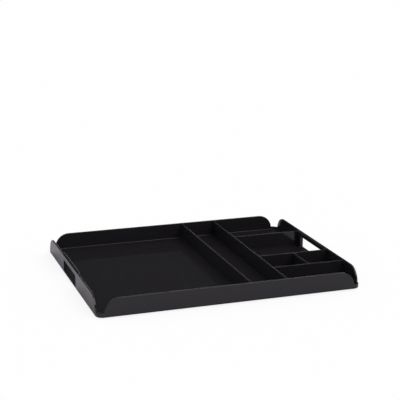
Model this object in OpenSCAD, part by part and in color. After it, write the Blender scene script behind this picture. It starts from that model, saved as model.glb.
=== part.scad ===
// Coffee station organizer: a low tray moulded in one piece, with walls that
// end in rounded shoulders beside open corners, a hand hold in each side wall,
// and upright dividers that stand in grooves in its floor. It lies on four
// rubber feet.
// Sizes are in millimetres. +X is right, +Y is back and +Z is up, seen from the
// front. The origin is the middle of the tray at the level it stands on.

/* [Tray] */
// width over the side walls
tray_w = 453; // [430:1:520]
// depth over the front and back walls
tray_d = 360; // [335:1:420]
// height of the walls above the underside
wall_h = 31; // [28:0.5:40]
// thickness of the walls and of the lip
wall_t = 2.7; // [2:0.1:4]
// thickness of the floor
floor_t = 3; // [2.6:0.1:4]
// radius of the four corners in plan
corner_r = 12; // [8:0.5:20]
// radius of the rounded lower outer edge
edge_r = 2; // [1:0.1:2.4]

/* [Open corners] */
// height of the low lip that runs round each corner
lip_h = 7.4; // [5:0.1:10]
// radius of the shoulder at each end of a wall
shoulder_r = 25.6; // [18:0.2:27]

/* [Hand holds] */
// length of the opening in each side wall
hold_l = 90; // [70:1:92]
// height of the opening above the floor
hold_h = 20.5; // [15:0.5:23]
// radius of its two upper corners
hold_r = 4.5; // [3:0.5:10]
// extra thickness of the wall round the opening, on its inner side
grip_t = 3; // [2:0.5:6]
// gap between the thick part of the wall and the panels beside it
grip_gap = 0.5; // [0.2:0.1:1]

/* [Dividers] */
// thickness of every divider
panel_t = 2.5; // [2:0.1:3.5]
// height that the dividers stop short of the top of the walls
panel_drop = 1.2; // [0:0.1:4]
// depth of the floor grooves that the dividers stand in
groove_d = 1; // [0.5:0.1:1.5]
// depth of the upright grooves where one divider meets another
housing_d = 0.7; // [0.4:0.1:0.9]
// clearance on each side of a divider in its groove
groove_gap = 0.1; // [0.05:0.05:0.2]

/* [Bays] */
// clear width of the long channel between the two rails
channel_w = 61; // [52:1:70]
// clear width of the small bays between the right rail and the right wall
side_bay_w = 128.6; // [115:0.1:140]
// clear depth of the narrow slot at the front right
slot_d = 61; // [45:1:70]
// clear depth of the pair of bins behind the slot
bin_d = 61; // [45:1:70]
// clear depth of the square bay behind the bins
square_bay_d = 117; // [104:1:120]

/* [Feet] */
// diameter of each rubber foot
foot_d = 16; // [10:1:20]
// height that the feet hold the tray off the table
foot_h = 2; // [1:0.2:4]
// depth of the recess that each foot is stuck in
foot_recess = 0.6; // [0.3:0.1:1]
// radius of the rounded lower edge of a foot
foot_edge_r = 0.6; // [0.2:0.1:0.9]
// distance from the outside of the tray to the middle of a foot
foot_inset = 22; // [18:1:40]

/* [Hidden] */
$fn = 96;
// levels, measured up from the table
floor_top = foot_h + floor_t;
lip_top = foot_h + lip_h;
wall_top = foot_h + wall_h;
panel_foot = floor_top - groove_d;
panel_top = wall_top - panel_drop;
// inner faces of the four walls
x_left = wall_t - tray_w / 2;
x_right = tray_w / 2 - wall_t;
y_front = wall_t - tray_d / 2;
y_back = tray_d / 2 - wall_t;
// left side of the small bays, and left faces of the two rails
side_x = x_right - side_bay_w;
right_rail_x = side_x - panel_t;
left_rail_x = right_rail_x - channel_w - panel_t;
// front faces of the three cross panels
slot_panel_y = y_front + slot_d;
bin_panel_y = slot_panel_y + panel_t + bin_d;
cup_panel_y = bin_panel_y + panel_t + square_bay_d;
// middle of the hand holds, level with the middle of the square bay, and
// length of the thick part of the wall there
hold_y = cup_panel_y - square_bay_d / 2;
grip_l = square_bay_d - 2 * grip_gap;
// left face of the short divider between the two bins
bin_divider_x = side_x + (side_bay_w - panel_t) / 2;
// extra length that carries a cut clear of a face
past = 1;

// The tray

// plan of the tray with its outline moved in by the inset
module plan(inset) {
    square([tray_w - 2 * corner_r, tray_d - 2 * inset], center = true);
    square([tray_w - 2 * inset, tray_d - 2 * corner_r], center = true);
    for (sx = [-1, 1], sy = [-1, 1])
        translate([sx * (tray_w / 2 - corner_r), sy * (tray_d / 2 - corner_r)])
            circle(corner_r - inset);
}

// rounded lower edge along two sides that face each other
module edge_pair(length, across) {
    for (s = [-1, 1])
        translate([-length / 2, s * (across / 2 - edge_r), foot_h + edge_r])
            rotate([0, 90, 0])
                cylinder(r = edge_r, h = length);
}

// rounded lower edge round the four corners
module edge_corners() {
    for (sx = [-1, 1], sy = [-1, 1])
        translate([sx * (tray_w / 2 - corner_r), sy * (tray_d / 2 - corner_r), foot_h + edge_r])
            rotate_extrude()
                translate([corner_r - edge_r, 0])
                    intersection() {
                        circle(edge_r);
                        translate([-edge_r, -edge_r])
                            square([2 * edge_r, edge_r]);
                    }
}

// floor plate and lip as one solid block
module base_block() {
    translate([0, 0, foot_h])
        linear_extrude(lip_h)
            plan(edge_r);
    translate([0, 0, foot_h + edge_r])
        linear_extrude(lip_h - edge_r)
            plan(0);
    edge_pair(tray_w - 2 * corner_r, tray_d);
    rotate([0, 0, 90])
        edge_pair(tray_d - 2 * corner_r, tray_w);
    edge_corners();
}

// one wall seen from outside, with a rounded shoulder at each end
module wall_face(length) {
    reach = length / 2 - shoulder_r;
    intersection() {
        union() {
            translate([-reach, 0])
                square([2 * reach, wall_h]);
            for (s = [-1, 1])
                translate([s * reach, wall_h - shoulder_r])
                    circle(shoulder_r);
        }
        translate([-length / 2, floor_t])
            square([length, wall_h - floor_t]);
    }
}

// the front and back walls, or the side walls when turned
module wall_pair(length, across) {
    for (s = [-1, 1])
        translate([0, s * (across / 2 - wall_t / 2) + wall_t / 2, foot_h])
            rotate([90, 0, 0])
                linear_extrude(wall_t)
                    wall_face(length);
}

// thick part of each side wall that the hand hold is cut through
module grips() {
    for (x = [x_left - past, x_right - grip_t])
        translate([x, hold_y - grip_l / 2, floor_top - past])
            cube([grip_t + past, grip_l, wall_top - floor_top + past]);
}

// outline of a hand hold, standing on the floor
module hold_face() {
    translate([-hold_l / 2, 0])
        square([hold_l, hold_h - hold_r]);
    translate([hold_r - hold_l / 2, 0])
        square([hold_l - 2 * hold_r, hold_h]);
    for (s = [-1, 1])
        translate([s * (hold_l / 2 - hold_r), hold_h - hold_r])
            circle(hold_r);
}

// openings through both side walls, level with the floor
module hand_holds() {
    translate([-tray_w / 2 - past, hold_y, floor_top])
        rotate([90, 0, 90])
            linear_extrude(tray_w + 2 * past)
                hold_face();
}

// floor groove for a divider that fills the given rectangle
module groove(x, y, length_x, length_y) {
    translate([x - groove_gap, y - groove_gap, panel_foot])
        cube([length_x + 2 * groove_gap, length_y + 2 * groove_gap, groove_d + past]);
}

// floor grooves kept inside the walls
module grooves() {
    intersection() {
        union() {
            groove(left_rail_x, y_front, panel_t, y_back - y_front);
            groove(right_rail_x, y_front, panel_t, y_back - y_front);
            groove(side_x, slot_panel_y, side_bay_w, panel_t);
            groove(side_x, bin_panel_y, side_bay_w, panel_t);
            groove(side_x, cup_panel_y, side_bay_w, panel_t);
            groove(bin_divider_x, slot_panel_y, panel_t, bin_panel_y - slot_panel_y);
        }
        translate([x_left, y_front, 0])
            cube([x_right - x_left, y_back - y_front, wall_top]);
    }
}

// places one thing at the middle of a foot
module at_foot(side_x, side_y) {
    translate([side_x * (tray_w / 2 - foot_inset), side_y * (tray_d / 2 - foot_inset), 0])
        children();
}

module tray() {
    color([0.03, 0.03, 0.035])
        difference() {
            union() {
                difference() {
                    base_block();
                    translate([0, 0, floor_top])
                        linear_extrude(lip_h)
                            plan(wall_t);
                }
                wall_pair(tray_w - 2 * corner_r, tray_d);
                rotate([0, 0, 90])
                    wall_pair(tray_d - 2 * corner_r, tray_w);
                grips();
            }
            hand_holds();
            grooves();
            for (sx = [-1, 1], sy = [-1, 1])
                at_foot(sx, sy)
                    translate([0, 0, foot_h - past])
                        cylinder(d = foot_d + 2 * groove_gap, h = foot_recess + past);
        }
}

// The dividers

// upright divider that fills the given rectangle, from its groove to the top
module upright(x, y, length_x, length_y) {
    translate([x, y, panel_foot])
        cube([length_x, length_y, panel_top - panel_foot]);
}

// upright groove in a divider, where the end of another one slides in
module housing(x, y, length_x, length_y) {
    translate([x - groove_gap, y - groove_gap, panel_foot - past])
        cube([length_x + 2 * groove_gap, length_y + 2 * groove_gap, wall_h + 2 * past]);
}

// long rail between the large bay and the channel
module left_rail() {
    color([0.03, 0.03, 0.035])
        upright(left_rail_x, y_front, panel_t, y_back - y_front);
}

// long rail between the channel and the small bays, grooved for the panels
module right_rail() {
    color([0.03, 0.03, 0.035])
        difference() {
            upright(right_rail_x, y_front, panel_t, y_back - y_front);
            for (y = [slot_panel_y, bin_panel_y, cup_panel_y])
                housing(side_x - housing_d + groove_gap, y, panel_t, panel_t);
        }
}

// cross panel from the right rail to the right wall
module cross_panel(y) {
    upright(side_x - housing_d, y, side_bay_w + housing_d, panel_t);
}

// panel behind the narrow front slot, grooved for the short divider
module slot_panel() {
    color([0.03, 0.03, 0.035])
        difference() {
            cross_panel(slot_panel_y);
            housing(bin_divider_x, slot_panel_y + panel_t - housing_d + groove_gap, panel_t, panel_t);
        }
}

// panel behind the two bins, grooved for the short divider
module bin_back_panel() {
    color([0.03, 0.03, 0.035])
        difference() {
            cross_panel(bin_panel_y);
            housing(bin_divider_x, bin_panel_y + housing_d - panel_t - groove_gap, panel_t, panel_t);
        }
}

// short divider between the two bins
module bin_divider() {
    color([0.03, 0.03, 0.035])
        upright(bin_divider_x, slot_panel_y + panel_t - housing_d, panel_t, bin_d + 2 * housing_d);
}

// panel between the square bay and the back right bay
module cup_bay_panel() {
    color([0.03, 0.03, 0.035])
        cross_panel(cup_panel_y);
}

// The feet

// one rubber foot with a rounded lower edge, stuck in its recess
module foot() {
    color([0.06, 0.06, 0.06])
        rotate_extrude()
            union() {
                translate([0, foot_edge_r])
                    square([foot_d / 2, foot_h + foot_recess - foot_edge_r]);
                square([foot_d / 2 - foot_edge_r, foot_h]);
                intersection() {
                    translate([foot_d / 2 - foot_edge_r, foot_edge_r])
                        circle(foot_edge_r);
                    square([foot_d / 2, foot_edge_r]);
                }
            }
}

module foot_front_left() {
    at_foot(-1, -1)
        foot();
}

module foot_front_right() {
    at_foot(1, -1)
        foot();
}

module foot_back_left() {
    at_foot(-1, 1)
        foot();
}

module foot_back_right() {
    at_foot(1, 1)
        foot();
}

tray();
left_rail();
right_rail();
slot_panel();
bin_back_panel();
bin_divider();
cup_bay_panel();
foot_front_left();
foot_front_right();
foot_back_left();
foot_back_right();
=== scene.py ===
"""A low glossy black organizer tray with upright dividers, on a pale studio floor."""

import math

import bpy
import numpy as np
from mathutils import Matrix, Vector


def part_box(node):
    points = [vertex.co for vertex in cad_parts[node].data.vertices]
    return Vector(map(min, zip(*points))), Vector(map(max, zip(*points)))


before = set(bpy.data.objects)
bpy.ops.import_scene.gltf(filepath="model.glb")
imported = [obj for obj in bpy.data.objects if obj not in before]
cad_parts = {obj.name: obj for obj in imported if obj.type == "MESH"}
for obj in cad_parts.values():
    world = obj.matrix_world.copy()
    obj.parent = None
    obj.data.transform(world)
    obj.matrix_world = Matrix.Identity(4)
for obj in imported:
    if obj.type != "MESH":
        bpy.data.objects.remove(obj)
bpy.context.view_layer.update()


# The tray
# One moulding in black plastic with a high gloss: floor, low lip and four walls.
# Its surface came off a polished mould, so it mirrors what is near it, and use has left fine rubbing marks,
# a little dust and duller edges. Its edges are also painted paler, partly as wear and partly as a painted
# highlight.

MOULD_BLACK = (0.0138, 0.0124, 0.0148, 1)
# Paler black for the rubbing marks, and for the edges, where it is partly wear and partly a painted
# highlight.
RUBBED_BLACK_AND_EDGE_HIGHLIGHT = (0.045, 0.045, 0.048, 1)
DUST_GREY = (0.32, 0.31, 0.29, 1)
PLASTIC_IOR = 1.49

TRAY_POLISH = 0.07
TRAY_EDGE_ROUND = 0.0012
# How strongly the edges are painted paler: partly wear, partly a painted highlight.
TRAY_EDGE_WEAR_AND_HIGHLIGHT = 0.55

SMEAR_DULLS = 0.06
MARKS_DULL = 0.10
WEAR_DULLS = 0.16
DUST_DULLS = 0.55
MARKS_PALE = 0.35

RIPPLE_DEPTH = 0.00006
PEEL_DEPTH = 0.000008
PEEL_SHOWS = 0.35


def add(tree, kind, **settings):
    """One shader node; names that are its inputs are set there, the rest on the node."""
    made = tree.nodes.new(kind)
    for key, value in settings.items():
        name = key.replace("_", " ")
        if name in made.inputs:
            made.inputs[name].default_value = value
        else:
            setattr(made, key, value)
    return made


def join(tree, *pairs):
    """Joins each pair of an output and an input."""
    for out, into in pairs:
        tree.links.new(out, into)


def ramp(tree, source, low, high, below=0.0, above=1.0):
    """Smooth step: one value below low, another above high, and an S-shaped slope between."""
    step = add(tree, "ShaderNodeMapRange", interpolation_type="SMOOTHSTEP",
               From_Min=low, From_Max=high, To_Min=below, To_Max=above)
    join(tree, (source, step.inputs["Value"]))
    return step.outputs["Result"]


def sums(tree, operation, a, b):
    """Plain arithmetic on two values, each a number or an output."""
    made = add(tree, "ShaderNodeMath", operation=operation)
    for slot, value in ((0, a), (1, b)):
        if isinstance(value, (int, float)):
            made.inputs[slot].default_value = value
        else:
            join(tree, (value, made.inputs[slot]))
    return made.outputs[0]


def blend_in(tree, mask, under, over):
    """Colour under where the mask is 0 and colour over where it is 1."""
    mixed = add(tree, "ShaderNodeMix", data_type="RGBA")
    join(tree, (mask, mixed.inputs[0]))
    for slot, colour in ((6, under), (7, over)):
        if isinstance(colour, tuple):
            mixed.inputs[slot].default_value = colour
        else:
            join(tree, (colour, mixed.inputs[slot]))
    return mixed.outputs[2]


def cloud(tree, place, **settings):
    """Soft noise from 0 to 1 at some place coordinates."""
    made = add(tree, "ShaderNodeTexNoise", **settings)
    join(tree, (place, made.inputs["Vector"]))
    return made.outputs["Fac"]


def new_material(name, **settings):
    """A node material with some inputs of its main shader set, its node tree and that shader."""
    made = bpy.data.materials.new(name)
    made.use_nodes = True
    shader = made.node_tree.nodes["Principled BSDF"]
    for key, value in settings.items():
        shader.inputs[key.replace("_", " ")].default_value = value
    return made, made.node_tree, shader


def middle_of(*nodes):
    """Middle of the box round some CAD nodes: half the sum of its lowest and highest corners."""
    boxes = np.array([[list(corner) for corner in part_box(node)] for node in nodes])
    return (boxes[:, 0].min(axis=0) + boxes[:, 1].max(axis=0)) / 2


def streaks(tree, place, stretch, turn, bare):
    """Thin straight marks: noise squeezed across them and drawn out along them.

    The mark starts where the noise passes bare and is full a little above it.
    """
    lie = add(tree, "ShaderNodeMapping", Rotation=(0, 0, turn), Scale=stretch)
    join(tree, (place, lie.inputs["Vector"]))
    grain = cloud(tree, lie.outputs[0], Scale=1.0, Detail=2.0, Roughness=0.6)
    return ramp(tree, grain, bare, bare + 0.07)


def rubbing_marks(tree, place):
    """The stronger of two sets of streaks, one along the width and one along the depth."""
    along = streaks(tree, place, stretch=(18, 1500, 1500), turn=0.22, bare=0.66)
    across = streaks(tree, place, stretch=(1300, 16, 1300), turn=-0.35, bare=0.67)
    return sums(tree, "MAXIMUM", along, across)


def dust_specks(tree, place, film):
    """Round specks in one cell in five of a 2 mm cell pattern, denser where the film is thick."""
    cells = add(tree, "ShaderNodeTexVoronoi", Scale=520.0, Randomness=1.0)
    chance = add(tree, "ShaderNodeSeparateColor")
    join(tree, (place, cells.inputs["Vector"]), (cells.outputs["Color"], chance.inputs[0]))
    speck = ramp(tree, cells.outputs["Distance"], 0.05, 0.11, below=1.0, above=0.0)
    speck = sums(tree, "MULTIPLY", speck, ramp(tree, chance.outputs[0], 0.80, 0.82))
    return sums(tree, "MULTIPLY", speck, ramp(tree, film, 0.45, 0.62, below=0.15, above=0.8))


def edge_wear_and_highlight(tree, rounded, film, wear_and_highlight):
    """A mask of edge wear and painted edge highlight, up to the given amount, where the rounded normal leans
    away from the face's own.

    The film noise nibbles at it, so that it is uneven along an edge.
    """
    face = add(tree, "ShaderNodeNewGeometry")
    lean = add(tree, "ShaderNodeVectorMath", operation="DOT_PRODUCT")
    join(tree, (rounded, lean.inputs[0]), (face.outputs["Normal"], lean.inputs[1]))
    edge = ramp(tree, lean.outputs["Value"], 0.86, 0.995, below=1.0, above=0.0)
    nibbled = sums(tree, "MULTIPLY", edge, ramp(tree, film, 0.38, 0.60, below=0.35, above=1.0))
    return sums(tree, "MULTIPLY", nibbled, wear_and_highlight)


def gloss_black(name, middle, polish, edge_round, wear_and_highlight):
    """Polished black plastic: gloss with smears, fine rubbing marks, dust, and duller, paler edges whose
    paleness is partly wear and partly a painted highlight.

    Roughness is polish plus a slow smear, plus marks, plus edge wear, plus dust. The normal
    is the face's own, rounded over edge_round at its edges, with a slow and a fine ripple.
    """
    made, tree, shader = new_material(name, IOR=PLASTIC_IOR)
    spot = add(tree, "ShaderNodeTexCoord")
    centred = add(tree, "ShaderNodeMapping", Location=-middle)
    join(tree, (spot.outputs["Object"], centred.inputs["Vector"]))
    place = centred.outputs[0]
    rounded = add(tree, "ShaderNodeBevel", samples=6, Radius=edge_round).outputs[0]

    smear = cloud(tree, place, Scale=14.0, Detail=4.0, Roughness=0.55, Distortion=0.4)
    film = cloud(tree, place, Scale=31.0, Detail=5.0, Roughness=0.65)
    marks = rubbing_marks(tree, place)
    dust = dust_specks(tree, place, film)
    worn_and_highlit = edge_wear_and_highlight(tree, rounded, film, wear_and_highlight)

    colour = blend_in(tree, sums(tree, "MULTIPLY", marks, MARKS_PALE), MOULD_BLACK, RUBBED_BLACK_AND_EDGE_HIGHLIGHT)
    # Paler edges: partly wear, partly a painted highlight.
    colour = blend_in(tree, worn_and_highlit, colour, RUBBED_BLACK_AND_EDGE_HIGHLIGHT)
    colour = blend_in(tree, dust, colour, DUST_GREY)
    join(tree, (colour, shader.inputs["Base Color"]))

    rough = ramp(tree, smear, 0.35, 0.70, below=polish, above=polish + SMEAR_DULLS)
    for mask, dulls in ((marks, MARKS_DULL), (worn_and_highlit, WEAR_DULLS), (dust, DUST_DULLS)):
        rough = sums(tree, "ADD", rough, sums(tree, "MULTIPLY", mask, dulls))
    join(tree, (rough, shader.inputs["Roughness"]))

    ripple = cloud(tree, place, Scale=22.0, Detail=1.0)
    peel = cloud(tree, place, Scale=900.0, Detail=2.0)
    slow = add(tree, "ShaderNodeBump", Strength=1.0, Distance=RIPPLE_DEPTH)
    fine = add(tree, "ShaderNodeBump", Strength=PEEL_SHOWS, Distance=PEEL_DEPTH)
    join(tree, (rounded, slow.inputs["Normal"]), (ripple, slow.inputs["Height"]),
         (slow.outputs[0], fine.inputs["Normal"]), (peel, fine.inputs["Height"]),
         (fine.outputs[0], shader.inputs["Normal"]))
    return made


def dress(node, material):
    """Gives a CAD node one material in every slot."""
    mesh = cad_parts[node].data
    if not mesh.materials:
        mesh.materials.append(material)
    for i in range(len(mesh.materials)):
        mesh.materials[i] = material


tray_black = gloss_black("tray_gloss_black", middle_of("tray"), TRAY_POLISH, TRAY_EDGE_ROUND, TRAY_EDGE_WEAR_AND_HIGHLIGHT)
dress("tray", tray_black)


# The dividers
# Strips cut from the same black plastic and bonded upright in the tray's floor
# grooves; the two rails run front to back and the panels slot into the right one.
# Their sawn edges are less rounded than the tray's and have worn more, and are painted paler still, partly
# as wear and partly as a painted highlight.

STRIPS = ("left_rail", "right_rail", "slot_panel", "bin_back_panel", "bin_divider", "cup_bay_panel")
STRIP_POLISH = 0.08
STRIP_EDGE_ROUND = 0.0006
# How strongly the strips' edges are painted paler: partly wear, partly a painted highlight.
STRIP_EDGE_WEAR_AND_HIGHLIGHT = 0.75

divider_black = gloss_black("divider_gloss_black", middle_of(*STRIPS),
                            STRIP_POLISH, STRIP_EDGE_ROUND, STRIP_EDGE_WEAR_AND_HIGHLIGHT)
for strip in STRIPS:
    dress(strip, divider_black)


# The feet
# Four moulded rubber discs stuck into shallow recesses near the corners.
# Matt black rubber, paler where it has rubbed on the table.

FEET = ("foot_front_left", "foot_front_right", "foot_back_left", "foot_back_right")
RUBBER_BLACK = (0.022, 0.022, 0.023, 1)
RUBBER_CHALKY = (0.085, 0.084, 0.080, 1)
RUBBER_IOR = 1.52
BLOOM_HEIGHT = 0.0009
PEBBLE_DEPTH = 0.00005


def foot_rubber(name):
    """Matt rubber: a fine pebbled bump and a chalky bloom that grows towards the ground."""
    made, tree, shader = new_material(name, IOR=RUBBER_IOR)
    place = add(tree, "ShaderNodeTexCoord").outputs["Object"]
    axes = add(tree, "ShaderNodeSeparateXYZ")
    pebble = add(tree, "ShaderNodeTexVoronoi", Scale=1600.0)
    join(tree, (place, axes.inputs[0]), (place, pebble.inputs["Vector"]))
    patch = cloud(tree, place, Scale=260.0, Detail=4.0)
    low = ramp(tree, axes.outputs["Z"], 0.0, BLOOM_HEIGHT, below=1.0, above=0.25)
    bloom = sums(tree, "MULTIPLY", low, ramp(tree, patch, 0.40, 0.68))
    grain = add(tree, "ShaderNodeBump", Strength=0.5, Distance=PEBBLE_DEPTH)
    join(tree, (blend_in(tree, bloom, RUBBER_BLACK, RUBBER_CHALKY), shader.inputs["Base Color"]),
         (ramp(tree, patch, 0.3, 0.7, below=0.62, above=0.82), shader.inputs["Roughness"]),
         (pebble.outputs["Distance"], grain.inputs["Height"]),
         (grain.outputs[0], shader.inputs["Normal"]))
    return made


rubber = foot_rubber("foot_rubber_black")
for foot in FEET:
    dress(foot, rubber)


# The studio floor
# A wide pale board that the tray stands on, with a faint glow for the camera. It
# keeps the tray's shadow, and the plastic mirrors it a little greyer.

FLOOR_REACH = 14.0
FLOOR_SEEN = (0.98, 0.98, 0.98, 1)
FLOOR_MIRRORED = (0.590, 0.568, 0.618, 1)
FLOOR_GLOW = 0.86


def seen_straight(tree, path):
    """1 for a ray from the camera or through something clear, and 0 for any other."""
    return sums(tree, "MAXIMUM", path.outputs["Is Camera Ray"], path.outputs["Is Transmission Ray"])


def floor_pale(name):
    """Chalky board in one of two colours, with a share of plain white glow where seen straight."""
    made, tree, shader = new_material(name)
    tree.nodes.remove(shader)
    chalk = add(tree, "ShaderNodeBsdfDiffuse")
    lit = add(tree, "ShaderNodeEmission")
    both = add(tree, "ShaderNodeMixShader")
    straight = seen_straight(tree, add(tree, "ShaderNodeLightPath"))
    join(tree, (blend_in(tree, straight, FLOOR_MIRRORED, FLOOR_SEEN), chalk.inputs["Color"]),
         (sums(tree, "MULTIPLY", straight, FLOOR_GLOW), both.inputs[0]),
         (chalk.outputs[0], both.inputs[1]), (lit.outputs[0], both.inputs[2]),
         (both.outputs[0], tree.nodes["Material Output"].inputs["Surface"]))
    return made


def studio_floor():
    """A flat square at the height of the feet: its corners are the four signs times its reach."""
    corners = np.array([(-1, -1), (1, -1), (1, 1), (-1, 1)], float) * FLOOR_REACH
    points = np.column_stack([corners, np.zeros(4)])
    mesh = bpy.data.meshes.new("studio_floor")
    mesh.from_pydata(points.tolist(), [], [(0, 1, 2, 3)])
    mesh.materials.append(floor_pale("floor_pale"))
    board = bpy.data.objects.new("studio_floor", mesh)
    bpy.context.collection.objects.link(board)
    return board


studio_floor()


# The light
# An even tent lights the tray from all round, and one wide soft lamp hangs high at the
# front right. The camera sees the tent white. The plastic mirrors its white wall near
# the horizon, the unlit studio above the wall, and the tent's roof.

TENT_LIGHT = 0.66
WALL_FADES = (0.10, 0.24)
STUDIO_MIRRORED = 0.03
ROOF_STARTS = (0.45, 0.85)
ROOF_MIRRORED = 0.55
LAMP_STRENGTH = 1.25
LAMP_WIDTH = math.radians(50)
LAMP_FROM = Vector((0.45, -0.55, 1.0))


def tent(name):
    """The world: white where seen straight, TENT_LIGHT to the faces that it lights.

    A mirrored ray meets a strength that depends on its upward part alone, a step down
    from the wall to the dark studio and a step up to the roof.
    """
    made = bpy.data.worlds.new(name)
    made.use_nodes = True
    tree = made.node_tree
    tree.nodes.clear()
    ends = add(tree, "ShaderNodeOutputWorld")
    glow = add(tree, "ShaderNodeBackground", Color=(1, 1, 1, 1))
    way = add(tree, "ShaderNodeTexCoord")
    upward = add(tree, "ShaderNodeSeparateXYZ")
    join(tree, (way.outputs["Generated"], upward.inputs[0]))
    wall = ramp(tree, upward.outputs["Z"], *WALL_FADES, below=1.0, above=0.0)
    roof = ramp(tree, upward.outputs["Z"], *ROOF_STARTS, below=STUDIO_MIRRORED, above=ROOF_MIRRORED)
    path = add(tree, "ShaderNodeLightPath")
    mirrored = sums(tree, "SUBTRACT", sums(tree, "MAXIMUM", wall, roof), TENT_LIGHT)
    mirrored = sums(tree, "MULTIPLY", path.outputs["Is Glossy Ray"], mirrored)
    straight = sums(tree, "MULTIPLY", seen_straight(tree, path), 1 - TENT_LIGHT)
    strength = sums(tree, "ADD", sums(tree, "ADD", TENT_LIGHT, mirrored), straight)
    join(tree, (strength, glow.inputs["Strength"]), (glow.outputs[0], ends.inputs["Surface"]))
    return made


bpy.context.scene.world = tent("tent")

lamp = bpy.data.lights.new("soft_lamp", "SUN")
lamp.energy = LAMP_STRENGTH
lamp.angle = LAMP_WIDTH
hung = bpy.data.objects.new("soft_lamp", lamp)
hung.matrix_world = LAMP_FROM.to_track_quat("Z", "Y").to_matrix().to_4x4()
bpy.context.collection.objects.link(hung)


# The camera
# A long lens from the front left, a little above the tray, as in the photograph.

CAMERA_AT = Vector((-0.60243, -1.71844, 0.61911))
CAMERA_TURN = math.radians(19.43)
CAMERA_TILT = math.radians(15.12)
CAMERA_ROLL = math.radians(0.49)
FILM_WIDTH = 36
LENS = 98.4
SEES_TO = 60


def aimed(turn, tilt, roll):
    """Camera axes: forward is turned to the right and tilted down, then all roll about it."""
    ahead = Vector((math.sin(turn) * math.cos(tilt), math.cos(turn) * math.cos(tilt), -math.sin(tilt)))
    right = Vector((math.cos(turn), -math.sin(turn), 0))
    up = right.cross(ahead)
    rolled = right * math.cos(roll) + up * math.sin(roll)
    upright = up * math.cos(roll) - right * math.sin(roll)
    return Matrix((rolled, upright, -ahead)).transposed().to_4x4()


view_camera = bpy.data.cameras.new("camera")
view_camera.sensor_width = FILM_WIDTH
view_camera.lens = LENS
view_camera.clip_end = SEES_TO
holder = bpy.data.objects.new("camera", view_camera)
holder.matrix_world = Matrix.Translation(CAMERA_AT) @ aimed(CAMERA_TURN, CAMERA_TILT, CAMERA_ROLL)
bpy.context.collection.objects.link(holder)
bpy.context.scene.camera = holder
bpy.context.scene.view_settings.view_transform = "Standard"
